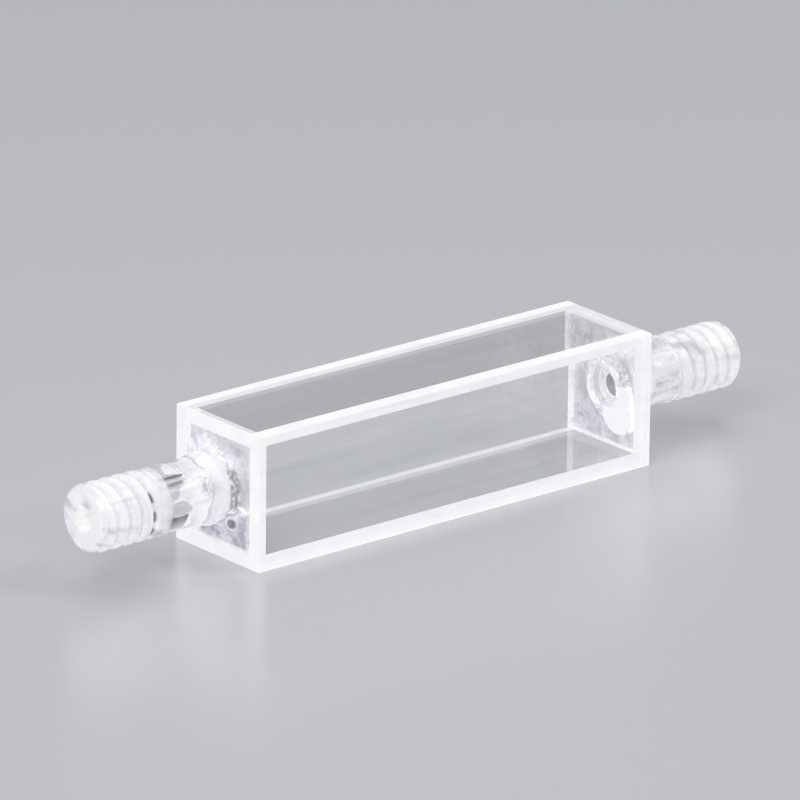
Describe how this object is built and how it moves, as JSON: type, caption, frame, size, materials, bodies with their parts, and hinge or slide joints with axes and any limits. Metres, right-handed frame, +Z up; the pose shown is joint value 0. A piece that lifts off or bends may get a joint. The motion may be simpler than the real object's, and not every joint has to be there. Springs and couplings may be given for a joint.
{
  "type": "flow-through cuvette",
  "caption": "Rectangular flow-through glass cuvette with polished windows, frosted ground edges and a screw-ended tube fused to each end for the flow.",
  "frame": {"origin": "under the middle of the whole part, on the surface that the cell lies on", "axes": "+X along the flow from inlet to outlet, +Z up out of the top window, +Y out of the back window"},
  "size_m": [0.0732, 0.0116, 0.0125],
  "materials": {
    "window_glass": "polished, with ground white edges",
    "end_plate_glass": "polished, with ground white edges and a haze round the fused foot",
    "tube_glass": "fire-polished neck and a milky screw thread"
  },
  "bodies": {
    "root": {"front_window": "window_glass", "back_window": "window_glass", "top_window": "window_glass", "bottom_window": "window_glass", "inlet_end_plate": "end_plate_glass", "outlet_end_plate": "end_plate_glass", "inlet_tube": "tube_glass", "outlet_tube": "tube_glass"}
  },
  "joints": []
}
